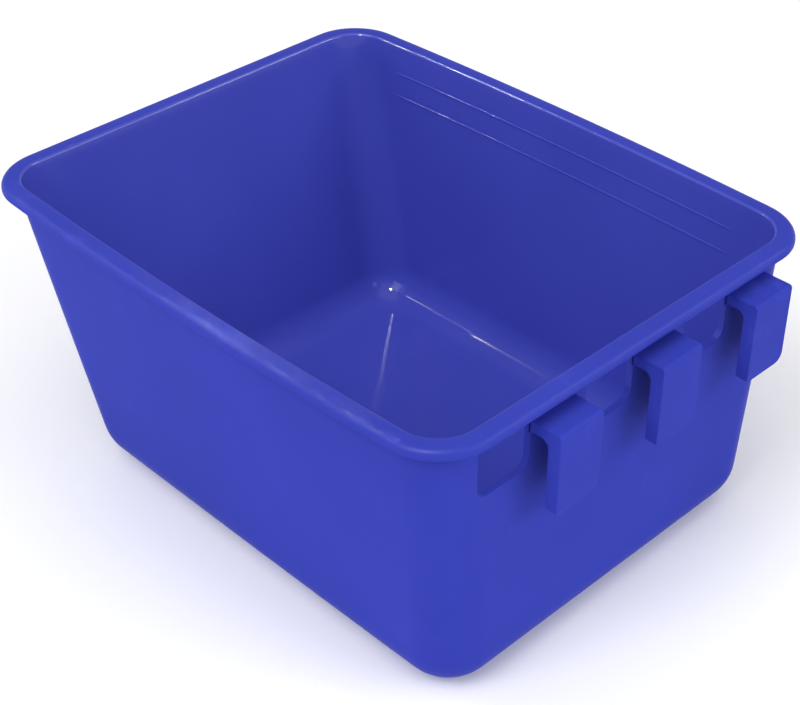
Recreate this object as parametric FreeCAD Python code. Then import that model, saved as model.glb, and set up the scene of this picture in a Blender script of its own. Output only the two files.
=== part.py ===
import FreeCAD, Part
import math
import os

V = FreeCAD.Vector

# ---------------------------------------------------------------------------
# Driving dimensions, millimetres.
# The tub is laid out about the middle of its rim: x runs from the slanted
# front to the hook end, y across, z up from the underside of the floor.
# ---------------------------------------------------------------------------

# tub
bin_height = 124.5            # underside of the floor to the top of the rim
wall_thickness = 2.6
floor_thickness = 2.8
bottom_round = 19.0           # outer radius between the floor and the walls

# plan outline at the top of the rim
rim_half_length = 127.0
rim_half_width = 104.5        # at mid length, where the long sides bow out most
rim_corner_radius = 24.0
rim_side_radius = 2300.0      # large arc of the bowed long sides

# rim bead
rim_height = 4.4
rim_overhang = 5.4            # rim stands out past the wall below it
rim_outer_top_round = 2.8
rim_outer_bottom_round = 1.3
rim_inner_round = 0.9

# plan outline of the outer walls, carried down to the underside of the floor
base_front_x = -89.0
base_hook_x = 121.2
base_half_width = 87.5
base_corner_radius = 20.0
base_side_radius = 20000.0

# fine ledges along the inside of each long wall
ledge_depths = (12.9, 23.4)   # below the top of the rim
ledge_height = 1.0
ledge_stand = 0.5             # stands out of the wall's inner face
ledge_half_length = 94.0

# hooks on the end wall
hook_pitch = 53.0
hook_width = 21.4
hook_reach = 13.4             # wall's outer face to the plate's outer face
plate_thickness = 5.5
arm_thickness = 4.8
hook_top_depth = 9.4          # arm's top below the top of the rim
plate_height = 33.8
slot_round = 3.2
arm_outer_round = 1.4
plate_near_corner_round = 1.2
plate_far_corner_round = 4.2

# windows in the end wall, one beside each hook
window_width = 25.0
window_top_depth = 8.5        # top edge below the top of the rim
window_drop = 29.6            # bottom edge below the top of the rim
window_corner_round = 5.0

HOOK_NAMES = ("hook_right", "hook_centre", "hook_left")
OVERSHOOT = 40.0              # how far cutting tools run past the material
SEAM_MARGIN = 3.0             # end walls run this far into the corner rounds

# the origin of the exported part is under the middle of its overall length
hook_end_x = rim_half_length - rim_overhang + hook_reach
origin_shift_x = (hook_end_x - rim_half_length) / 2.0


# ---------------------------------------------------------------------------
# Plan outlines
# ---------------------------------------------------------------------------

def mix(low, high, t):
    return low + (high - low) * t


def wall_plan(z, inset):
    """Plan sizes of the drafted walls at height z, moved in by inset."""
    t = z / bin_height
    bend = mix(1.0 / base_side_radius, 1.0 / rim_side_radius, t)
    return {
        "front": mix(base_front_x, -rim_half_length + rim_overhang, t) + inset,
        "hook": mix(base_hook_x, rim_half_length - rim_overhang, t) - inset,
        "half_width": mix(base_half_width, rim_half_width - rim_overhang, t) - inset,
        "corner": mix(base_corner_radius, rim_corner_radius - rim_overhang, t) - inset,
        "side_radius": 1.0 / bend - inset,
    }


def rim_plan():
    """Plan sizes of the rim's outer face."""
    return {
        "front": -rim_half_length,
        "hook": rim_half_length,
        "half_width": rim_half_width,
        "corner": rim_corner_radius,
        "side_radius": rim_side_radius,
    }


def arc_about(cx, cy, radius, start_deg, end_deg, z):
    """Arc from start to end angle, and its three defining points."""
    points = []
    for angle in (start_deg, (start_deg + end_deg) / 2.0, end_deg):
        a = math.radians(angle)
        points.append(V(cx + radius * math.cos(a), cy + radius * math.sin(a), z))
    return points


def plan_points(plan, z):
    """Corner arcs of a plan: two short straight ends, two bowed long sides.

    Each corner arc is tangent to its straight end and to the bowed side.
    Returned anticlockwise, starting at the corner with high x and high y.
    """
    r = plan["corner"]
    big = plan["side_radius"]
    centre_y = plan["half_width"] - big
    mid_x = (plan["front"] + plan["hook"]) / 2.0
    corners = []
    for sx, sy in ((1, 1), (-1, 1), (-1, -1), (1, -1)):
        end_x = plan["hook"] if sx > 0 else plan["front"]
        cx = end_x - sx * r
        rise = math.sqrt((big - r) ** 2 - (cx - mid_x) ** 2)
        cy = sy * (centre_y + rise)
        lean = math.degrees(math.atan2(abs(cx - mid_x), rise))
        side = 90.0 - lean
        first = {(1, 1): 0.0, (-1, 1): 180.0 - side, (-1, -1): 180.0, (1, -1): 360.0 - side}[(sx, sy)]
        corners.append(arc_about(cx, cy, r, first, first + side, z))
    return corners


def plan_wire(plan, z):
    """Closed outline: four corner arcs, two straight ends, two bowed sides."""
    corners = plan_points(plan, z)
    crown = plan["half_width"]
    mid_x = (plan["front"] + plan["hook"]) / 2.0
    edges = []
    for i in range(4):
        here = corners[i]
        after = corners[(i + 1) % 4]
        edges.append(Part.Arc(*here).toShape())
        if i % 2 == 0:
            top = V(mid_x, crown if i == 0 else -crown, z)
            edges.append(Part.Arc(here[2], top, after[0]).toShape())
        else:
            edges.append(Part.LineSegment(here[2], after[0]).toShape())
    return Part.Wire(edges)


# ---------------------------------------------------------------------------
# Solid helpers
# ---------------------------------------------------------------------------

def edges_at_height(shape, z):
    """Edges that lie wholly in the plane at height z."""
    found = []
    for edge in shape.Edges:
        box = edge.BoundBox
        if abs(box.ZMin - z) < 1e-4 and abs(box.ZMax - z) < 1e-4:
            found.append(edge)
    return found


def drafted_solid(z_low, z_high, inset, round_radius):
    """Drafted tub solid between two heights, with its bottom edge rounded."""
    lower = plan_wire(wall_plan(z_low, inset), z_low)
    upper = plan_wire(wall_plan(z_high, inset), z_high)
    body = Part.makeLoft([lower, upper], True, True)
    return body.makeFillet(round_radius, edges_at_height(body, z_low))


def slab(x_low, x_high, y_low, y_high, z_low, z_high):
    size = (x_high - x_low, y_high - y_low, z_high - z_low)
    return Part.makeBox(size[0], size[1], size[2], V(x_low, y_low, z_low))


# ---------------------------------------------------------------------------
# Tub shell and the division into floor, walls and corners
# ---------------------------------------------------------------------------

def make_shell():
    """Whole drafted tub below the rim: outer solid less hollow and windows."""
    rim_under = bin_height - rim_height
    shell = drafted_solid(0.0, rim_under, 0.0, bottom_round).cut(make_hollow())
    for index in range(len(HOOK_NAMES)):
        shell = shell.cut(make_window_cutter(index))
    return shell


def make_hollow():
    """Space inside the walls, from the floor's top to the top of the rim."""
    inner_round = bottom_round - wall_thickness
    return drafted_solid(floor_thickness, bin_height, wall_thickness, inner_round)


def corner_seams(z):
    """Planes at height z where the walls' straight runs meet the corners."""
    plan = wall_plan(z, 0.0)
    r = plan["corner"]
    return {
        "front": plan["front"] + r,
        "hook": plan["hook"] - r,
        "side": plan["half_width"] - r + SEAM_MARGIN,
    }


def zone(x_keys, y_signs):
    """Slanted block between corner seams.

    x_keys names the seams at low and high x, y_signs the signs of the side
    seam at low and high y. None runs past the material on that side.
    """
    rings = []
    for z in (-1.0, bin_height + 1.0):
        seams = corner_seams(z)
        far = rim_half_length + OVERSHOOT
        x_low = -far if x_keys[0] is None else seams[x_keys[0]]
        x_high = far if x_keys[1] is None else seams[x_keys[1]]
        y_low = -far if y_signs[0] is None else y_signs[0] * seams["side"]
        y_high = far if y_signs[1] is None else y_signs[1] * seams["side"]
        ring = [V(x_low, y_low, z), V(x_high, y_low, z), V(x_high, y_high, z), V(x_low, y_high, z)]
        rings.append(Part.makePolygon(ring + [ring[0]]))
    return Part.makeLoft(rings, True, True)


WALL_ZONES = {
    "front_wall": ((None, "front"), (-1, 1)),
    "hook_wall": (("hook", None), (-1, 1)),
    "right_wall": (("front", "hook"), (None, -1)),
    "left_wall": (("front", "hook"), (1, None)),
    "corner_front_right": ((None, "front"), (None, -1)),
    "corner_front_left": ((None, "front"), (1, None)),
    "corner_hook_right": (("hook", None), (None, -1)),
    "corner_hook_left": (("hook", None), (1, None)),
}


def floor_zone():
    """Upright block over the flat middle of the floor."""
    seams = corner_seams(0.0)
    return slab(seams["front"], seams["hook"], -seams["side"], seams["side"], -1.0, bin_height)


def make_shell_pieces(shell):
    pieces = {"floor_panel": shell.common(floor_zone())}
    walls = shell.cut(floor_zone())
    for name, (x_keys, y_signs) in WALL_ZONES.items():
        pieces[name] = walls.common(zone(x_keys, y_signs))
    return pieces


# ---------------------------------------------------------------------------
# Rim bead
# ---------------------------------------------------------------------------

def make_rim():
    """Ring with a rounded outer bead; its inner face follows the wall."""
    under = bin_height - rim_height
    disc = Part.Face(plan_wire(rim_plan(), under)).extrude(V(0, 0, rim_height))
    disc = disc.makeFillet(rim_outer_top_round, edges_at_height(disc, bin_height))
    disc = disc.makeFillet(rim_outer_bottom_round, edges_at_height(disc, under))
    ring = disc.cut(make_hollow())
    inner_edges = []
    for edge in edges_at_height(ring, bin_height):
        middle = edge.valueAt((edge.FirstParameter + edge.LastParameter) / 2.0)
        inside_x = abs(middle.x) < rim_half_length - rim_overhang - wall_thickness / 2.0
        inside_y = abs(middle.y) < rim_half_width - rim_overhang - wall_thickness / 2.0
        if inside_x and inside_y:
            inner_edges.append(edge)
    return ring.makeFillet(rim_inner_round, inner_edges)


def make_rim_pieces(ring):
    """Four straight runs and four corners, parted where the corners begin."""
    x_seam = rim_half_length - rim_corner_radius
    y_seam = rim_half_width - rim_corner_radius
    far = rim_half_length + OVERSHOOT
    names = {
        (-1, 0): "rim_front",
        (1, 0): "rim_hook_end",
        (0, -1): "rim_right",
        (0, 1): "rim_left",
        (-1, -1): "rim_corner_front_right",
        (-1, 1): "rim_corner_front_left",
        (1, -1): "rim_corner_hook_right",
        (1, 1): "rim_corner_hook_left",
    }
    pieces = {}
    for (side_x, side_y), name in names.items():
        x_low, x_high = band_limits(side_x, x_seam, far)
        y_low, y_high = band_limits(side_y, y_seam, far)
        pieces[name] = ring.common(slab(x_low, x_high, y_low, y_high, 0.0, bin_height + 1.0))
    return pieces


def band_limits(side, seam, far):
    """Low and high limit of the band at one side, or of the middle band."""
    if side == 0:
        return -seam, seam
    return (seam, far) if side > 0 else (-far, -seam)


# ---------------------------------------------------------------------------
# Fine ledges inside the long walls
# ---------------------------------------------------------------------------

def make_ledges(side):
    """Two fine ledges on one long wall's inner face; side is +1 or -1."""
    y_low = 0.0 if side > 0 else -rim_half_width
    y_high = y_low + rim_half_width
    solids = []
    for depth in ledge_depths:
        z_high = bin_height - depth + ledge_height / 2.0
        z_low = z_high - ledge_height
        against_wall = drafted_band(z_low, z_high, wall_thickness)
        clear_of_wall = drafted_band(z_low, z_high, wall_thickness + ledge_stand)
        block = slab(-ledge_half_length, ledge_half_length, y_low, y_high, z_low, z_high)
        solids += block.common(against_wall).cut(clear_of_wall).Solids
    return Part.makeCompound(solids)


def drafted_band(z_low, z_high, inset):
    """Plain drafted solid between two heights."""
    rings = [plan_wire(wall_plan(z, inset), z) for z in (z_low, z_high)]
    return Part.makeLoft(rings, True, True)


# ---------------------------------------------------------------------------
# Hooks and windows on the end wall
# ---------------------------------------------------------------------------

def hook_near_face(index):
    """y of a hook's near face; the hooks are counted from the right side."""
    return (index - 1) * hook_pitch


def wall_face_x(z):
    return wall_plan(z, 0.0)["hook"]


def make_hook(index):
    """Inverted L: an arm out of the wall and a plate hanging from its end."""
    top = bin_height - hook_top_depth
    bottom = top - plate_height
    near = hook_near_face(index)
    arm_under = top - arm_thickness
    slot_x = hook_end_x - plate_thickness
    root_top = V(wall_face_x(top), near, top)
    root_under = V(wall_face_x(arm_under), near, arm_under)
    turn_start = V(slot_x - slot_round, near, arm_under)
    turn_mid = V(slot_x - slot_round * (1 - math.sin(math.pi / 4)), near,
                 arm_under - slot_round * (1 - math.cos(math.pi / 4)))
    turn_end = V(slot_x, near, arm_under - slot_round)
    edges = [
        Part.LineSegment(root_under, turn_start),
        Part.Arc(turn_start, turn_mid, turn_end),
        Part.LineSegment(turn_end, V(slot_x, near, bottom)),
        Part.LineSegment(V(slot_x, near, bottom), V(hook_end_x, near, bottom)),
        Part.LineSegment(V(hook_end_x, near, bottom), V(hook_end_x, near, top)),
        Part.LineSegment(V(hook_end_x, near, top), root_top),
        Part.LineSegment(root_top, root_under),
    ]
    profile = Part.Face(Part.Wire([edge.toShape() for edge in edges]))
    hook = profile.extrude(V(0, hook_width, 0))
    hook = round_plate_corner(hook, near, bottom, plate_near_corner_round)
    hook = round_plate_corner(hook, near + hook_width, bottom, plate_far_corner_round)
    return round_hook_top(hook, top)


def round_plate_corner(hook, y, bottom, radius):
    """Rounds the plate's lower corner at y, seen from the end."""
    for edge in hook.Edges:
        box = edge.BoundBox
        along_x = box.XLength > plate_thickness / 2.0 and box.YLength < 1e-4 and box.ZLength < 1e-4
        if along_x and abs(box.ZMin - bottom) < 1e-4 and abs(box.YMin - y) < 1e-4:
            return hook.makeFillet(radius, [edge])
    raise RuntimeError("the plate's lower corner was not found")


def round_hook_top(hook, top):
    """Rounds the edge where the arm's top turns into the plate's face."""
    for edge in hook.Edges:
        box = edge.BoundBox
        along_y = box.YLength > hook_width / 2.0 and box.ZLength < 1e-4
        if along_y and abs(box.ZMin - top) < 1e-4 and abs(box.XMax - hook_end_x) < 1e-4:
            return hook.makeFillet(arm_outer_round, [edge])
    raise RuntimeError("the hook's outer top edge was not found")


def make_window_cutter(index):
    """Opening beside a hook, with its lower corners round."""
    near = hook_near_face(index)
    top = bin_height - window_top_depth
    bottom = bin_height - window_drop
    x_low = base_hook_x - OVERSHOOT
    depth = 2.0 * OVERSHOOT
    block = Part.makeBox(depth, window_width, top - bottom, V(x_low, near - window_width, bottom))
    lower = [edge for edge in edges_at_height(block, bottom) if edge.BoundBox.XLength > 1.0]
    return block.makeFillet(window_corner_round, lower)


# ---------------------------------------------------------------------------
# Assembly and export
# ---------------------------------------------------------------------------

def build_nodes():
    nodes = make_shell_pieces(make_shell())
    nodes.update(make_rim_pieces(make_rim()))
    nodes["wall_ledges_left"] = make_ledges(1)
    nodes["wall_ledges_right"] = make_ledges(-1)
    for index, name in enumerate(HOOK_NAMES):
        nodes[name] = make_hook(index)
    return nodes


def export(name, shape):
    placed = shape.copy()
    placed.translate(V(-origin_shift_x, 0, 0))
    solids = placed.Solids
    whole = solids[0] if len(solids) == 1 else Part.makeCompound(solids)
    box = whole.BoundBox
    print("%-24s solids %d valid %s volume %9.1f  x %7.1f..%6.1f  y %7.1f..%6.1f  z %6.1f..%6.1f" % (
        name, len(solids), whole.isValid(), whole.Volume,
        box.XMin, box.XMax, box.YMin, box.YMax, box.ZMin, box.ZMax))
    whole.exportStep("parts/%s.step" % name)


def main():
    os.makedirs("parts", exist_ok=True)
    for name, shape in build_nodes().items():
        export(name, shape)


main()
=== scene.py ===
import math

import bmesh
import bpy
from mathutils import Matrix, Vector


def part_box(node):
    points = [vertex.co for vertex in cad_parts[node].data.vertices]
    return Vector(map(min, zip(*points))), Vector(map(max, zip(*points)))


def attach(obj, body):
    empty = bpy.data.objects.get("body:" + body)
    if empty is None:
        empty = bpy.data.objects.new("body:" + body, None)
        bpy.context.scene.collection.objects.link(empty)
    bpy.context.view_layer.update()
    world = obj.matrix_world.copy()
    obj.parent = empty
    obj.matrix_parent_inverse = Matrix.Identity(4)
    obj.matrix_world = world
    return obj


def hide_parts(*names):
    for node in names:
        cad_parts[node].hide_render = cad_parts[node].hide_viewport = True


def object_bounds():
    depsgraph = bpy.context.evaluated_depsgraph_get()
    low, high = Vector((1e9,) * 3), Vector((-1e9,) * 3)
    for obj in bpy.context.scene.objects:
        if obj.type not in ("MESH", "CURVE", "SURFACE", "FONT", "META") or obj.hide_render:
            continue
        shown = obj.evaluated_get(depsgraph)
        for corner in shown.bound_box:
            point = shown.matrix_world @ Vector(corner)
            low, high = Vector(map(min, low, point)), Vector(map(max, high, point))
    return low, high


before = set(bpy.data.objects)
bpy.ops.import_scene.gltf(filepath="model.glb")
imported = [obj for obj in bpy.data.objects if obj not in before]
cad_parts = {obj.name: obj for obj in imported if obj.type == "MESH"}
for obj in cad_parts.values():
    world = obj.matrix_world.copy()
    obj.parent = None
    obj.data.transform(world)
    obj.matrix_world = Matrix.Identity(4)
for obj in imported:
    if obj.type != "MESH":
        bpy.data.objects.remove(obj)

cad_low, cad_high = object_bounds()

# ---------------------------------------------------------------------------
# Sizes, metres. What the CAD frame shows is read from it; the rest are the
# moulding's own thicknesses and rounds.
# ---------------------------------------------------------------------------

MM = 0.001
HOOKS = ("hook_right", "hook_centre", "hook_left")

rim_front_low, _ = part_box("rim_front")
_, rim_hook_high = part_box("rim_hook_end")
corner_low, corner_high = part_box("rim_corner_hook_left")
rim_left_low, rim_left_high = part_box("rim_left")
_, floor_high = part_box("floor_panel")

bin_height = cad_high.z
rim_under = rim_left_low.z
rim_x_low = rim_front_low.x
rim_x_high = rim_hook_high.x
rim_mid_x = (rim_x_low + rim_x_high) / 2.0
rim_half_width = rim_left_high.y
rim_corner = corner_high.x - corner_low.x
floor_top = floor_high.z

wall_thickness = 2.6 * MM
rim_overhang = 5.4 * MM
rim_side_radius = 2300.0 * MM
base_side_radius = 20000.0 * MM
base_x_low = rim_mid_x - 89.0 * MM
base_x_high = rim_mid_x + 121.2 * MM
base_half_width = 87.5 * MM
base_corner = 20.0 * MM
least_corner = 1.5 * MM         # smallest corner radius over the floor's round
bottom_round = 19.0 * MM

root_round = 1.6 * MM           # hollow round where the bead meets the wall
bead_bottom_round = 1.3 * MM
bead_top_round = 2.8 * MM
bead_inner_round = 1.1 * MM
bead_crown = 0.12 * MM          # the bead's top is very slightly domed
crown_place = 0.68              # where the dome is highest, as a share of the bead's width
bead_seam_z = rim_under - root_round

window_width = 25.0 * MM
window_top_gap = 4.1 * MM       # wall left between the window and the bead
window_drop = 29.6 * MM
window_round = 5.0 * MM
window_edge = 0.35 * MM
window_top = rim_under - window_top_gap
window_bottom = bin_height - window_drop
cutter_reach = 20.0 * MM        # the window cutter starts this far inside the base's end
cutter_past_rim = 2.0 * MM
through_wall = 0.6 * MM         # an edge that changes x by more runs through the wall

plate_thickness = 5.5 * MM
arm_thickness = 4.8 * MM
slot_round = 3.2 * MM
hook_top_round = 1.4 * MM
plate_near_round = 1.2 * MM
plate_far_round = 4.2 * MM
hook_edge = 0.45 * MM
hook_root_flare = 1.0 * MM
hook_sink = 1.0 * MM            # how far the arm's root runs into the wall

ledge_height = 1.0 * MM
ledge_stand = 0.45 * MM
ledge_taper = 5.0 * MM
ledge_sink = 0.3 * MM           # how far a ledge runs into the wall
ledge_end_swell = 0.05          # what is left of a ledge's stand at its ends
ledge_end_height = 0.3          # and of its height

window_fold = math.radians(60.0)
hook_fold = math.radians(55.0)
broken_edge_degrees = 80.0      # folds up to this stay smooth where edges are broken
same_place = 1e-6

core_middle = 0.55              # the tub's middle, as a share of its height
parting_normal_z = 0.2          # bead faces steeper than this have the outside finish
inner_edge_lean = 0.2           # bead faces leaning inwards by more have the inside finish

seam_margin = 4.0 * MM          # side pieces start this far past the corners

# mesh steps
CORNER_STEPS = 18
LONG_STEPS = 22
SHORT_STEPS = 14
ROUND_STEPS = 14
WALL_STEPS = 7
BEAD_STEPS = 6
WINDOW_STEPS = 8
HOOK_TOP_STEPS = 6
SLOT_STEPS = 8
FLARE_STEPS = 4
LEDGE_STEPS = 40
LEDGE_ARC_STEPS = 6


# ---------------------------------------------------------------------------
# Plan outlines of the tub: four corner arcs, two straight ends and two long
# sides that bow out. A plan is a dictionary of sizes.
# ---------------------------------------------------------------------------

def mix(low, high, t):
    """The value a share t of the way from low to high."""
    return low + (high - low) * t


def quarter(steps):
    """Angles of a quarter turn."""
    return [math.pi / 2.0 * i / steps for i in range(steps + 1)]


def rim_plan(inset):
    """The bead's outer face, moved in by inset."""
    return {
        "low": rim_x_low + inset,
        "high": rim_x_high - inset,
        "half": rim_half_width - inset,
        "corner": rim_corner - inset,
        "bow": rim_side_radius - inset,
    }


def wall_plan(z, inset):
    """The drafted walls' outer faces at height z, moved in by inset."""
    t = z / bin_height
    bend = mix(1.0 / base_side_radius, 1.0 / rim_side_radius, t)
    return {
        "low": mix(base_x_low, rim_x_low + rim_overhang, t) + inset,
        "high": mix(base_x_high, rim_x_high - rim_overhang, t) - inset,
        "half": mix(base_half_width, rim_half_width - rim_overhang, t) - inset,
        "corner": mix(base_corner, rim_corner - rim_overhang, t) - inset,
        "bow": 1.0 / bend - inset,
    }


def lean(side):
    """Lean of a wall from upright, in radians."""
    rise = {
        "low": rim_x_low + rim_overhang - base_x_low,
        "high": rim_x_high - rim_overhang - base_x_high,
        "half": rim_half_width - rim_overhang - base_half_width,
    }[side]
    return math.atan2(abs(rise), bin_height)


def round_inset(side, above_floor, radius):
    """How far the floor's round draws a wall in, that far above the floor."""
    tilt = lean(side)
    if above_floor >= radius * (1.0 - math.sin(tilt)):
        return 0.0
    reach = math.sqrt(max(radius ** 2 - (radius - above_floor) ** 2, 0.0))
    return (above_floor - radius) * math.tan(tilt) + radius / math.cos(tilt) - reach


def rounded_plan(z, inset, floor_z, radius):
    """Wall plan with the round between wall and floor taken into account."""
    plan = wall_plan(z, inset)
    draw = {side: round_inset(side, z - floor_z, radius) for side in ("low", "high", "half")}
    plan["low"] += draw["low"]
    plan["high"] -= draw["high"]
    plan["half"] -= draw["half"]
    plan["corner"] = max(plan["corner"] - (draw["high"] + draw["half"]) / 2.0, least_corner)
    return plan


def side_y(plan, x):
    """y of the bowed long side at x, on the +y side."""
    mid = (plan["low"] + plan["high"]) / 2.0
    return plan["half"] - plan["bow"] + math.sqrt(plan["bow"] ** 2 - (x - mid) ** 2)


def corner_arc(plan, sx, sy):
    """Points of one corner arc, anticlockwise, tangent to its two sides."""
    r = plan["corner"]
    mid = (plan["low"] + plan["high"]) / 2.0
    cx = plan["high"] - r if sx > 0 else plan["low"] + r
    rise = math.sqrt((plan["bow"] - r) ** 2 - (cx - mid) ** 2)
    cy = sy * (plan["half"] - plan["bow"] + rise)
    turn = math.pi / 2.0 - math.atan2(abs(cx - mid), rise)
    starts = {
        (1, 1): 0.0,
        (-1, 1): math.pi - turn,
        (-1, -1): math.pi,
        (1, -1): 2.0 * math.pi - turn,
    }
    angles = [starts[sx, sy] + turn * i / CORNER_STEPS for i in range(CORNER_STEPS + 1)]
    return [(cx + r * math.cos(a), cy + r * math.sin(a)) for a in angles]


def side_fractions(length, steps):
    """Places along a side: a seam near each end and even steps between."""
    edge = seam_margin / length
    return [0.0] + [mix(edge, 1.0 - edge, i / (steps - 2)) for i in range(steps - 1)]


def plan_ring(plan, z):
    """Points round a plan at height z, and no point twice."""
    corners = [corner_arc(plan, sx, sy) for sx, sy in ((1, 1), (-1, 1), (-1, -1), (1, -1))]
    points = []
    for i, arc in enumerate(corners):
        points += arc[:-1]
        (x0, y0), (x1, y1) = arc[-1], corners[(i + 1) % 4][0]
        long_side = i % 2 == 0
        steps = LONG_STEPS if long_side else SHORT_STEPS
        length = math.hypot(x1 - x0, y1 - y0)
        for f in side_fractions(length, steps):
            x = mix(x0, x1, f)
            y = math.copysign(side_y(plan, x), y0) if long_side else mix(y0, y1, f)
            points.append((x, y))
    return [Vector((x, y, z)) for x, y in points]


def sector_columns():
    """First and last column of each corner and side piece round the ring."""
    spans = {}
    column = 0
    order = (("hook_left", "left", LONG_STEPS), ("front_left", "front", SHORT_STEPS),
             ("front_right", "right", LONG_STEPS), ("hook_right", "hook", SHORT_STEPS))
    for corner, side, steps in order:
        side_start = column + CORNER_STEPS
        spans["corner_" + corner] = (column - 1, side_start + 1)
        spans[side] = (side_start + 1, side_start + steps - 1)
        column = side_start + steps
    return spans


# ---------------------------------------------------------------------------
# Mesh helpers
# ---------------------------------------------------------------------------

def finish_mesh(mesh, sharp_degrees=38.0):
    """Faces point outwards; smooth, with sharp edges where faces fold."""
    bm = bmesh.new()
    bm.from_mesh(mesh)
    bmesh.ops.remove_doubles(bm, verts=bm.verts, dist=1e-7)
    bmesh.ops.recalc_face_normals(bm, faces=bm.faces)
    bm.to_mesh(mesh)
    bm.free()
    mesh.polygons.foreach_set("use_smooth", [True] * len(mesh.polygons))
    mesh.set_sharp_from_angle(angle=math.radians(sharp_degrees))


def link_object(name, data):
    """An object in the scene with that data."""
    obj = bpy.data.objects.new(name, data)
    bpy.context.scene.collection.objects.link(obj)
    return obj


def new_object(name, verts, faces):
    """A finished object from its vertices and faces."""
    mesh = bpy.data.meshes.new(name)
    mesh.from_pydata([tuple(v) for v in verts], [], faces)
    obj = link_object(name, mesh)
    finish_mesh(mesh)
    return obj


def bmesh_object(name, bm):
    """An object from a bmesh, which is freed."""
    mesh = bpy.data.meshes.new(name)
    bm.to_mesh(mesh)
    bm.free()
    return link_object(name, mesh)


def extrude_outline(bm, points, travel):
    """Adds a closed block: an outline of points, moved by travel."""
    face = bm.faces.new([bm.verts.new(point) for point in points])
    moved = bmesh.ops.extrude_face_region(bm, geom=[face])
    verts = [g for g in moved["geom"] if isinstance(g, bmesh.types.BMVert)]
    bmesh.ops.translate(bm, verts=verts, vec=travel)


def apply_modifiers(obj):
    """Makes what the modifiers show the object's own mesh."""
    graph = bpy.context.evaluated_depsgraph_get()
    mesh = bpy.data.meshes.new_from_object(obj.evaluated_get(graph))
    obj.modifiers.clear()
    obj.data = mesh


def swept_piece(name, rings, first, last, thin=False):
    """Closed solid between two columns of a closed loop of rings.

    A thin section goes up one face and back down the other with as many rings,
    so its ends are closed by a ladder of quads.
    """
    count = len(rings[0])
    columns = [c % count for c in range(first, last + 1)]
    verts = [ring[c] for c in columns for ring in rings]
    n = len(rings)
    end = (len(columns) - 1) * n
    faces = []
    for c in range(len(columns) - 1):
        for r in range(n):
            a, b = c * n + r, c * n + (r + 1) % n
            faces.append((a, b, b + n, a + n))
    caps = [(k, k + 1, n - 2 - k, n - 1 - k) for k in range(n // 2 - 1)] if thin else [tuple(range(n))]
    faces += [tuple(reversed(cap)) for cap in caps]
    faces += [tuple(end + r for r in cap) for cap in caps]
    return new_object(name, verts, faces)


def weight_normals(obj):
    """Large flat faces keep their own shading beside their broken edges."""
    modifier = obj.modifiers.new("weighted", "WEIGHTED_NORMAL")
    modifier.keep_sharp = True
    modifier.weight = 80
    apply_modifiers(obj)


def add_piece(obj, slot, *nodes):
    """Every piece rides on the bin's one body and stands for CAD nodes."""
    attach(obj, "root")
    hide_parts(*nodes)
    return obj


# ---------------------------------------------------------------------------
# Tub: walls, corners and floor
# ---------------------------------------------------------------------------

def wall_heights(floor_z, radius, top):
    """Heights up a wall: close together over the round, wide above it."""
    low = [floor_z + radius * (1.0 - math.cos(a)) for a in quarter(ROUND_STEPS)]
    return low + [mix(low[-1], top, i / WALL_STEPS) for i in range(1, WALL_STEPS + 1)]


def tub_rings(top):
    """Rings up the outer face and rings up the inner face."""
    outer = [plan_ring(rounded_plan(z, 0.0, 0.0, bottom_round), z)
             for z in wall_heights(0.0, bottom_round, top)]
    inner_round = bottom_round - wall_thickness
    inner = [plan_ring(rounded_plan(z, wall_thickness, floor_top, inner_round), z)
             for z in wall_heights(floor_top, inner_round, top)]
    return outer, inner


def make_floor(outer, inner):
    """Flat floor inside the rounds: two planar faces and a band between."""
    low, high = outer[0], inner[0]
    n = len(low)
    faces = [tuple(range(n))[::-1], tuple(range(n, 2 * n))]
    faces += [(i, (i + 1) % n, n + (i + 1) % n, n + i) for i in range(n)]
    return new_object("floor_skin", low + high, faces)


def window_cutter():
    """Blocks through the hook wall, one beside each hook, lower corners round."""
    bm = bmesh.new()
    x_low = base_x_high - cutter_reach
    x_high = rim_x_high + cutter_past_rim
    for hook in HOOKS:
        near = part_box(hook)[0].y
        outline = window_outline(near - window_width, near, window_bottom, window_top)
        extrude_outline(bm, [(x_low, y, z) for y, z in outline], (x_high - x_low, 0.0, 0.0))
    bmesh.ops.recalc_face_normals(bm, faces=bm.faces)
    return bmesh_object("window_cutter", bm)


def window_outline(y_low, y_high, z_low, z_high):
    """Outline with square top corners and round lower corners."""
    points = [(y_high, z_high), (y_low, z_high)]
    cz = z_low + window_round
    for cy, start in ((y_low + window_round, math.pi), (y_high - window_round, 1.5 * math.pi)):
        for turn in quarter(WINDOW_STEPS):
            a = start + turn
            points.append((cy + window_round * math.cos(a), cz + window_round * math.sin(a)))
    return points


def cut_windows(obj, cutter):
    """Cuts the windows out of a piece and breaks their edges."""
    cut = obj.modifiers.new("windows", "BOOLEAN")
    cut.operation = "DIFFERENCE"
    cut.solver = "MANIFOLD"
    cut.object = cutter
    apply_modifiers(obj)
    bm = bmesh.new()
    bm.from_mesh(obj.data)
    edges = [e for e in bm.edges if on_window_edge(e)]
    bmesh.ops.bevel(bm, geom=edges, offset=window_edge, segments=2, profile=0.6, affect="EDGES",
                    clamp_overlap=True)
    bm.to_mesh(obj.data)
    bm.free()
    finish_mesh(obj.data, broken_edge_degrees)
    weight_normals(obj)


def on_window_edge(edge):
    """True for the folded edges where a window meets the wall's faces."""
    if len(edge.link_faces) != 2 or edge.calc_face_angle(0.0) < window_fold:
        return False
    a, b = edge.verts[0].co, edge.verts[1].co
    slack = 0.05 * MM
    for hook in HOOKS:
        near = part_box(hook)[0].y
        far = near - window_width
        beside = all(far - slack < p.y < near + slack for p in (a, b))
        level = all(window_bottom - slack < p.z < window_top + slack for p in (a, b))
        if beside and level and abs(a.x - b.x) < through_wall:
            along_seam = abs(a.y - b.y) < slack and far + slack < a.y < near - slack
            return not along_seam
    return False


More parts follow.
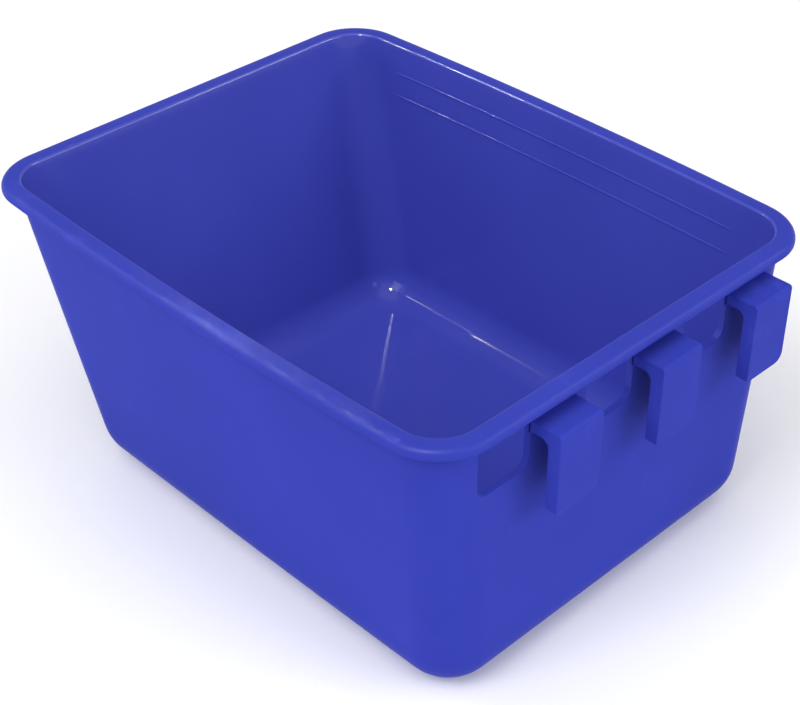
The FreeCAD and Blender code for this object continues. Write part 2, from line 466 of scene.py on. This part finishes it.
def make_tub():
    """Walls and corners as separate solids that meet in the flat of a wall."""
    outer, inner = tub_rings(bead_seam_z)
    rings = outer + inner[::-1]
    spans = sector_columns()
    pieces = {}
    for side in ("front", "left", "right", "hook"):
        name = side + "_wall"
        pieces[name] = swept_piece(name + "_skin", rings, *spans[side], thin=True)
    for corner in ("hook_left", "front_left", "front_right", "hook_right"):
        name = "corner_" + corner
        pieces[name] = swept_piece(name + "_skin", rings, *spans[name], thin=True)
    cutter = window_cutter()
    cut_windows(pieces["hook_wall"], cutter)
    cut_windows(pieces["corner_hook_right"], cutter)
    bpy.data.objects.remove(cutter)
    pieces["floor_panel"] = make_floor(outer, inner)
    for node, obj in pieces.items():
        add_piece(obj, "tub_plastic", node)
    return list(pieces.values())


# ---------------------------------------------------------------------------
# Bead rim
# ---------------------------------------------------------------------------

def bead_rings():
    """Closed loop of rings round the bead's section, from the wall outwards."""
    rings = []
    for a in quarter(BEAD_STEPS):
        z = bead_seam_z + root_round * math.sin(a)
        rings.append(plan_ring(wall_plan(z, -root_round * (1.0 - math.cos(a))), z))
    for a in quarter(BEAD_STEPS):
        z = rim_under + bead_bottom_round * (1.0 - math.cos(a))
        rings.append(plan_ring(rim_plan(bead_bottom_round * (1.0 - math.sin(a))), z))
    shoulder = bin_height - bead_crown - bead_top_round
    for a in quarter(BEAD_STEPS):
        z = shoulder + bead_top_round * math.sin(a)
        rings.append(plan_ring(rim_plan(bead_top_round * (1.0 - math.cos(a))), z))
    rings.append(plan_ring(rim_plan(crown_place * (rim_overhang + wall_thickness)), bin_height))
    inner_shoulder = bin_height - bead_crown - bead_inner_round
    for a in quarter(BEAD_STEPS)[::-1]:
        z = inner_shoulder + bead_inner_round * math.sin(a)
        inset = wall_thickness - bead_inner_round * (1.0 - math.cos(a))
        rings.append(plan_ring(wall_plan(z, inset), z))
    rings.append(plan_ring(wall_plan(bead_seam_z, wall_thickness), bead_seam_z))
    return rings


def make_rim():
    """The bead in four straight runs and four corners."""
    rings = bead_rings()
    nodes = {
        "front": "rim_front", "hook": "rim_hook_end", "left": "rim_left", "right": "rim_right",
        "corner_hook_left": "rim_corner_hook_left", "corner_front_left": "rim_corner_front_left",
        "corner_front_right": "rim_corner_front_right", "corner_hook_right": "rim_corner_hook_right",
    }
    spans = sector_columns()
    pieces = []
    for sector, node in nodes.items():
        obj = swept_piece(node + "_bead", rings, *spans[sector])
        pieces.append(add_piece(obj, "rim_plastic", node))
    return pieces


# ---------------------------------------------------------------------------
# Hooks
# ---------------------------------------------------------------------------

def hook_profile(low, high):
    """Inverted L in the x-z plane: flared root, arm, slot round and plate."""
    end_x, top, bottom = high.x, high.z, low.z
    slot_x = end_x - plate_thickness
    under = top - arm_thickness
    wall_top_x = wall_plan(top, 0.0)["high"]
    wall_x = wall_plan(under, 0.0)["high"]
    points = [(wall_top_x - hook_sink, top)]
    cx, cz = end_x - hook_top_round, top - hook_top_round
    for a in quarter(HOOK_TOP_STEPS):
        points.append((cx + hook_top_round * math.sin(a), cz + hook_top_round * math.cos(a)))
    points += [(end_x, bottom), (slot_x, bottom)]
    cx, cz = slot_x - slot_round, under - slot_round
    for a in quarter(SLOT_STEPS):
        points.append((cx + slot_round * math.cos(a), cz + slot_round * math.sin(a)))
    cx, cz = wall_x + hook_root_flare, under - hook_root_flare
    for a in quarter(FLARE_STEPS):
        points.append((cx - hook_root_flare * math.sin(a), cz + hook_root_flare * math.cos(a)))
    points.append((wall_x - hook_sink, under - hook_root_flare))
    return points


def make_hook(node):
    """One hook: extruded profile, rounded plate corners, broken edges."""
    low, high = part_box(node)
    bm = bmesh.new()
    profile = [(x, low.y, z) for x, z in hook_profile(low, high)]
    extrude_outline(bm, profile, (0.0, high.y - low.y, 0.0))
    bmesh.ops.recalc_face_normals(bm, faces=bm.faces)
    for y, radius in ((low.y, plate_near_round), (high.y, plate_far_round)):
        ends = [e for e in bm.edges if is_plate_corner(e, y, low.z)]
        bmesh.ops.bevel(bm, geom=ends, offset=radius, segments=8, profile=0.5, affect="EDGES")
    folds = [e for e in bm.edges if e.calc_face_angle(0.0) > hook_fold]
    bmesh.ops.bevel(bm, geom=folds, offset=hook_edge, segments=3, profile=0.5, affect="EDGES",
                    clamp_overlap=True)
    obj = bmesh_object(node + "_moulding", bm)
    finish_mesh(obj.data, broken_edge_degrees)
    weight_normals(obj)
    return add_piece(obj, "hook_plastic", node)


def is_plate_corner(edge, y, z):
    """True for the edge along x at the plate's lower corner."""
    a, b = edge.verts[0].co, edge.verts[1].co
    return all(abs(p.z - z) < same_place and abs(p.y - y) < same_place for p in (a, b))


# ---------------------------------------------------------------------------
# Fine ledges inside the long walls
# ---------------------------------------------------------------------------

def ledge_section(x, z_mid, swell):
    """Half-round section on the wall's inner face, sunk a little behind it."""
    points = []
    for i in range(LEDGE_ARC_STEPS + 1):
        a = math.pi * i / LEDGE_ARC_STEPS - math.pi / 2.0
        z = z_mid + ledge_height / 2.0 * math.sin(a) * max(swell, ledge_end_height)
        plan = wall_plan(z, wall_thickness + ledge_stand * swell * math.cos(a))
        points.append((x, side_y(plan, x), z))
    sunk = wall_thickness - ledge_sink
    for z in (points[-1][2], points[0][2]):
        points.append((x, side_y(wall_plan(z, sunk), x), z))
    return points


def make_ledges(side, node):
    """Both ledges of one long wall, tapering out at their ends."""
    low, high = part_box(node)
    verts, faces = [], []
    n = LEDGE_ARC_STEPS + 3         # the arc's points, and two sunk behind it
    for z_mid in (low.z + ledge_height / 2.0, high.z - ledge_height / 2.0):
        start = len(verts)
        for i in range(LEDGE_STEPS + 1):
            x = mix(low.x, high.x, i / LEDGE_STEPS)
            swell = min(1.0, min(x - low.x, high.x - x) / ledge_taper + ledge_end_swell)
            verts += [(px, side * py, pz) for px, py, pz in ledge_section(x, z_mid, swell)]
        for i in range(LEDGE_STEPS):
            for k in range(n):
                a, b = start + i * n + k, start + i * n + (k + 1) % n
                faces.append((a, b, b + n, a + n))
        faces.append(tuple(range(start, start + n)))
        last = start + LEDGE_STEPS * n
        faces.append(tuple(range(last, last + n)))
    obj = new_object(node + "_line", verts, faces)
    return add_piece(obj, "tub_plastic", node)


# ---------------------------------------------------------------------------
# Materials
# ---------------------------------------------------------------------------

blue = (0.037, 0.051, 0.415)
deep_blue = (0.033, 0.046, 0.375)
# Darker bead-top colours: painted shade on the bead's top.
rim_top_blue_painted_shade = (0.032, 0.046, 0.395)
rim_top_deep_blue_painted_shade = (0.028, 0.041, 0.368)
worn_blue = (0.060, 0.078, 0.49)
# Lighter inside colours: painted light, lifting the inside that the walls shade.
inside_blue_painted_light = (0.058, 0.073, 0.46)
inside_deep_blue_painted_light = (0.052, 0.066, 0.43)

plastic_ior = 1.49
scratch_stretch = 26.0          # scratches run level, so their noise is squeezed upright
mark_roughness = 0.25           # how much rougher a scuff or scratch is
grain_height = 0.35             # the fine grain's height, as a share of the peel's
relief_depth = 0.00012


def add_node(tree, kind, **values):
    """A node with its inputs or properties set by name."""
    node = tree.nodes.new(kind)
    for key, value in values.items():
        if key in node.inputs:
            node.inputs[key].default_value = value
        else:
            setattr(node, key, value)
    return node


def noise(tree, coords, scale, detail, rough=0.55, stretch=None):
    """Noise in the object's own coordinates, optionally stretched."""
    source = coords
    if stretch:
        mapping = add_node(tree, "ShaderNodeMapping", Scale=stretch)
        tree.links.new(coords, mapping.inputs["Vector"])
        source = mapping.outputs["Vector"]
    node = add_node(tree, "ShaderNodeTexNoise", Scale=scale, Detail=detail, Roughness=rough)
    tree.links.new(source, node.inputs["Vector"])
    return node.outputs["Fac"]


def spread(tree, value, low, high, out_low=0.0, out_high=1.0):
    """Maps a value's range to another, clamped."""
    node = tree.nodes.new("ShaderNodeMapRange")
    node.inputs["From Min"].default_value = low
    node.inputs["From Max"].default_value = high
    node.inputs["To Min"].default_value = out_low
    node.inputs["To Max"].default_value = out_high
    tree.links.new(value, node.inputs["Value"])
    return node.outputs["Result"]


def combine(tree, operation, a, b):
    """A math node on two values, each a socket or a number."""
    node = add_node(tree, "ShaderNodeMath", operation=operation)
    for socket, value in zip(node.inputs, (a, b)):
        if isinstance(value, (int, float)):
            socket.default_value = value
        else:
            tree.links.new(value, socket)
    return node.outputs["Value"]


def blend_colours(tree, factor, first, second):
    """A mix of two colours, each a socket or a tuple."""
    node = tree.nodes.new("ShaderNodeMix")
    node.data_type = "RGBA"
    tree.links.new(factor, node.inputs["Factor"])
    colour_inputs = [s for s in node.inputs if s.type == "RGBA"]
    for socket, value in zip(colour_inputs, (first, second)):
        if isinstance(value, tuple):
            socket.default_value = (*value, 1.0)
        else:
            tree.links.new(value, socket)
    return [s for s in node.outputs if s.type == "RGBA"][0]


def moulded_plastic(name, colour, deep, roughness, wear, shine, relief_strength):
    """Blue moulded plastic: cloudy colour, fine grain, scuffs and scratches."""
    material = bpy.data.materials.new(name)
    material.use_nodes = True
    tree = material.node_tree
    shader = tree.nodes["Principled BSDF"]
    coords = tree.nodes.new("ShaderNodeTexCoord").outputs["Object"]

    clouds = noise(tree, coords, scale=14.0, detail=3.0)
    tone = spread(tree, clouds, low=0.35, high=0.68)
    scuffs = noise(tree, coords, scale=55.0, detail=6.0, rough=0.7)
    scuff_patches = spread(tree, scuffs, low=0.60, high=0.74)
    scratches = noise(tree, coords, scale=60.0, detail=2.0, rough=0.5, stretch=(1.0, 1.0, scratch_stretch))
    scratch_lines = spread(tree, scratches, low=0.70, high=0.78)
    marks = combine(tree, "MAXIMUM", scuff_patches, scratch_lines)
    marks = combine(tree, "MULTIPLY", marks, wear)

    body = blend_colours(tree, tone, deep, colour)
    shown = blend_colours(tree, marks, body, worn_blue)
    tree.links.new(shown, shader.inputs["Base Color"])

    polish = noise(tree, coords, scale=30.0, detail=4.0)
    gloss = spread(tree, polish, low=0.3, high=0.7, out_low=0.85 * roughness, out_high=1.15 * roughness)
    rough = combine(tree, "ADD", gloss, combine(tree, "MULTIPLY", marks, mark_roughness))
    tree.links.new(rough, shader.inputs["Roughness"])

    peel = noise(tree, coords, scale=160.0, detail=2.0)
    grain = noise(tree, coords, scale=1500.0, detail=3.0)
    relief = combine(tree, "ADD", peel, combine(tree, "MULTIPLY", grain, grain_height))
    bump = add_node(tree, "ShaderNodeBump", Strength=relief_strength, Distance=relief_depth)
    tree.links.new(relief, bump.inputs["Height"])
    tree.links.new(bump.outputs["Normal"], shader.inputs["Normal"])
    shader.inputs["IOR"].default_value = plastic_ior
    shader.inputs["Specular IOR Level"].default_value = shine
    return material


def pale_floor_material():
    """Plain, dull and nearly white."""
    material = bpy.data.materials.new("pale_floor")
    material.use_nodes = True
    shader = material.node_tree.nodes["Principled BSDF"]
    shader.inputs["Base Color"].default_value = (0.96, 0.96, 0.965, 1.0)
    shader.inputs["Roughness"].default_value = 0.9
    return material


def give_material(objects, material):
    """One material on the whole of each object."""
    for obj in objects:
        obj.data.materials.clear()
        obj.data.materials.append(material)


def give_rim_materials(objects, inside, top, outside):
    """The bead's inner edge is glossy and has the inside's lighter colour, which is painted light; its top
    has a darker colour, which is painted shade; its outer side is as dull as the tub's.
    """
    for obj in objects:
        obj.data.materials.clear()
        for material in (inside, top, outside):
            obj.data.materials.append(material)
        for face in obj.data.polygons:
            inward = Vector((rim_mid_x - face.center.x, -face.center.y, 0.0)).normalized()
            if face.normal.dot(inward) > inner_edge_lean:
                face.material_index = 0
            else:
                face.material_index = 1 if face.normal.z > parting_normal_z else 2


def give_tub_materials(objects, outside, inside):
    """The mould's core side, which faces the middle of the bin, has its own glossier finish and a lighter
    colour, which is painted light on the shaded inside.
    """
    middle = Vector((rim_mid_x, 0.0, core_middle * bin_height))
    for obj in objects:
        obj.data.materials.clear()
        obj.data.materials.append(outside)
        obj.data.materials.append(inside)
        for face in obj.data.polygons:
            face.material_index = 1 if face.normal.dot(middle - face.center) > 0.0 else 0


# ---------------------------------------------------------------------------
# Stage, light and camera
# ---------------------------------------------------------------------------

stage_half_width = 6.0
surround_strength = 0.5
rim_lamp_beam = math.radians(5.0)
near_rim = Vector((0.05, -rim_half_width, bin_height))

camera_lens = 77.84
camera_azimuth = 45.65
camera_elevation = 36.12
camera_distance = 0.67
camera_aim = Vector((0.0187, -0.0164, 0.0723))


def make_floor_stage():
    """The studio floor that the bin stands on."""
    size = stage_half_width
    verts = [(-size, -size, 0.0), (size, -size, 0.0), (size, size, 0.0), (-size, size, 0.0)]
    mesh = bpy.data.meshes.new("studio_floor")
    mesh.from_pydata(verts, [], [(0, 1, 2, 3)])
    floor = link_object("studio_floor", mesh)
    floor.data.materials.append(pale_floor_material())


def direction(azimuth, elevation):
    """Unit vector towards azimuth 0 = -Y, 90 = +X, at that elevation."""
    a, e = math.radians(azimuth), math.radians(elevation)
    return Vector((math.sin(a) * math.cos(e), -math.cos(a) * math.cos(e), math.sin(e)))


def area_light(name, azimuth, elevation, distance, width, height, power, aim=None):
    """A rectangular lamp that looks at the middle of the bin, or at aim."""
    data = bpy.data.lights.new(name, "AREA")
    data.shape = "RECTANGLE"
    data.size = width
    data.size_y = height
    data.energy = power
    lamp = link_object(name, data)
    towards = direction(azimuth, elevation)
    lamp.location = (aim or Vector((0.0, 0.0, bin_height / 2.0))) + towards * distance
    lamp.rotation_euler = towards.to_track_quat("Z", "Y").to_euler()
    return lamp


def highlight_lamp(name, azimuth, elevation, distance, width, height, power, aim=None):
    """A lamp that glossy surfaces reflect but that throws no light or shadow."""
    lamp = area_light(name, azimuth, elevation, distance, width, height, power, aim)
    lamp.visible_diffuse = False
    return lamp


def make_light():
    """Four large softboxes, and four small lamps that draw the highlights."""
    world = bpy.data.worlds.new("studio")
    world.use_nodes = True
    background = world.node_tree.nodes["Background"]
    background.inputs["Color"].default_value = (1.0, 1.0, 1.0, 1.0)
    background.inputs["Strength"].default_value = surround_strength
    bpy.context.scene.world = world
    area_light("left_softbox", azimuth=-56.0, elevation=22.0, distance=2.4,
               width=1.2, height=0.9, power=9.0)
    area_light("right_softbox", azimuth=112.0, elevation=30.0, distance=2.4,
               width=1.5, height=1.2, power=20.0)
    area_light("side_softbox", azimuth=0.0, elevation=45.0, distance=3.0,
               width=1.5, height=1.5, power=32.0)
    area_light("top_softbox", azimuth=30.0, elevation=72.0, distance=2.4,
               width=2.4, height=2.4, power=21.5)
    highlight_lamp("back_lamp", azimuth=140.2, elevation=34.0, distance=1.44,
                   width=0.42, height=0.12, power=4.5)
    highlight_lamp("spot_lamp", azimuth=18.6, elevation=62.2, distance=2.2,
                   width=0.08, height=0.08, power=46.0)
    highlight_lamp("fillet_lamp", azimuth=-58.0, elevation=44.6, distance=2.36,
                   width=0.08, height=0.18, power=13.0)
    rim_lamp = highlight_lamp("rim_lamp", azimuth=-93.0, elevation=56.0, distance=2.4,
                              width=0.12, height=0.1, power=0.085, aim=near_rim)
    rim_lamp.data.spread = rim_lamp_beam


def make_camera():
    """Stands over the corner between the right wall and the hook wall."""
    data = bpy.data.cameras.new("camera")
    data.sensor_width = 36.0
    data.lens = camera_lens
    camera = link_object("camera", data)
    towards = direction(camera_azimuth, camera_elevation)
    camera.location = camera_aim + towards * camera_distance
    camera.rotation_euler = towards.to_track_quat("Z", "Y").to_euler()
    bpy.context.scene.camera = camera


# ---------------------------------------------------------------------------
# Build
# ---------------------------------------------------------------------------

tub_pieces = make_tub()
tub_pieces += [make_ledges(1, "wall_ledges_left"), make_ledges(-1, "wall_ledges_right")]
rim_pieces = make_rim()
hook_pieces = [make_hook(node) for node in HOOKS]

tub_outside = moulded_plastic("tub_outside_blue", blue, deep_blue,
                              roughness=0.34, wear=0.3, shine=0.01, relief_strength=0.5)
# Both inside finishes take the lighter inside colours, which are painted light.
tub_inside = moulded_plastic("tub_inside_blue", inside_blue_painted_light, inside_deep_blue_painted_light,
                             roughness=0.09, wear=0.1, shine=0.15, relief_strength=0.04)
rim_inside = moulded_plastic("rim_inside_blue", inside_blue_painted_light, inside_deep_blue_painted_light,
                             roughness=0.1, wear=0.1, shine=0.4, relief_strength=0.04)
# The bead's top takes the darker colours, which are painted shade.
rim_plastic = moulded_plastic("rim_top_blue_painted_shade", rim_top_blue_painted_shade, rim_top_deep_blue_painted_shade,
                              roughness=0.42, wear=0.6, shine=0.1, relief_strength=0.4)
hook_plastic = moulded_plastic("hook_blue", blue, deep_blue,
                               roughness=0.34, wear=0.5, shine=0.01, relief_strength=0.4)
give_tub_materials(tub_pieces, tub_outside, tub_inside)
give_rim_materials(rim_pieces, rim_inside, rim_plastic, tub_outside)
give_material(hook_pieces, hook_plastic)

make_floor_stage()
make_light()
make_camera()
bpy.context.scene.view_settings.view_transform = "Standard"
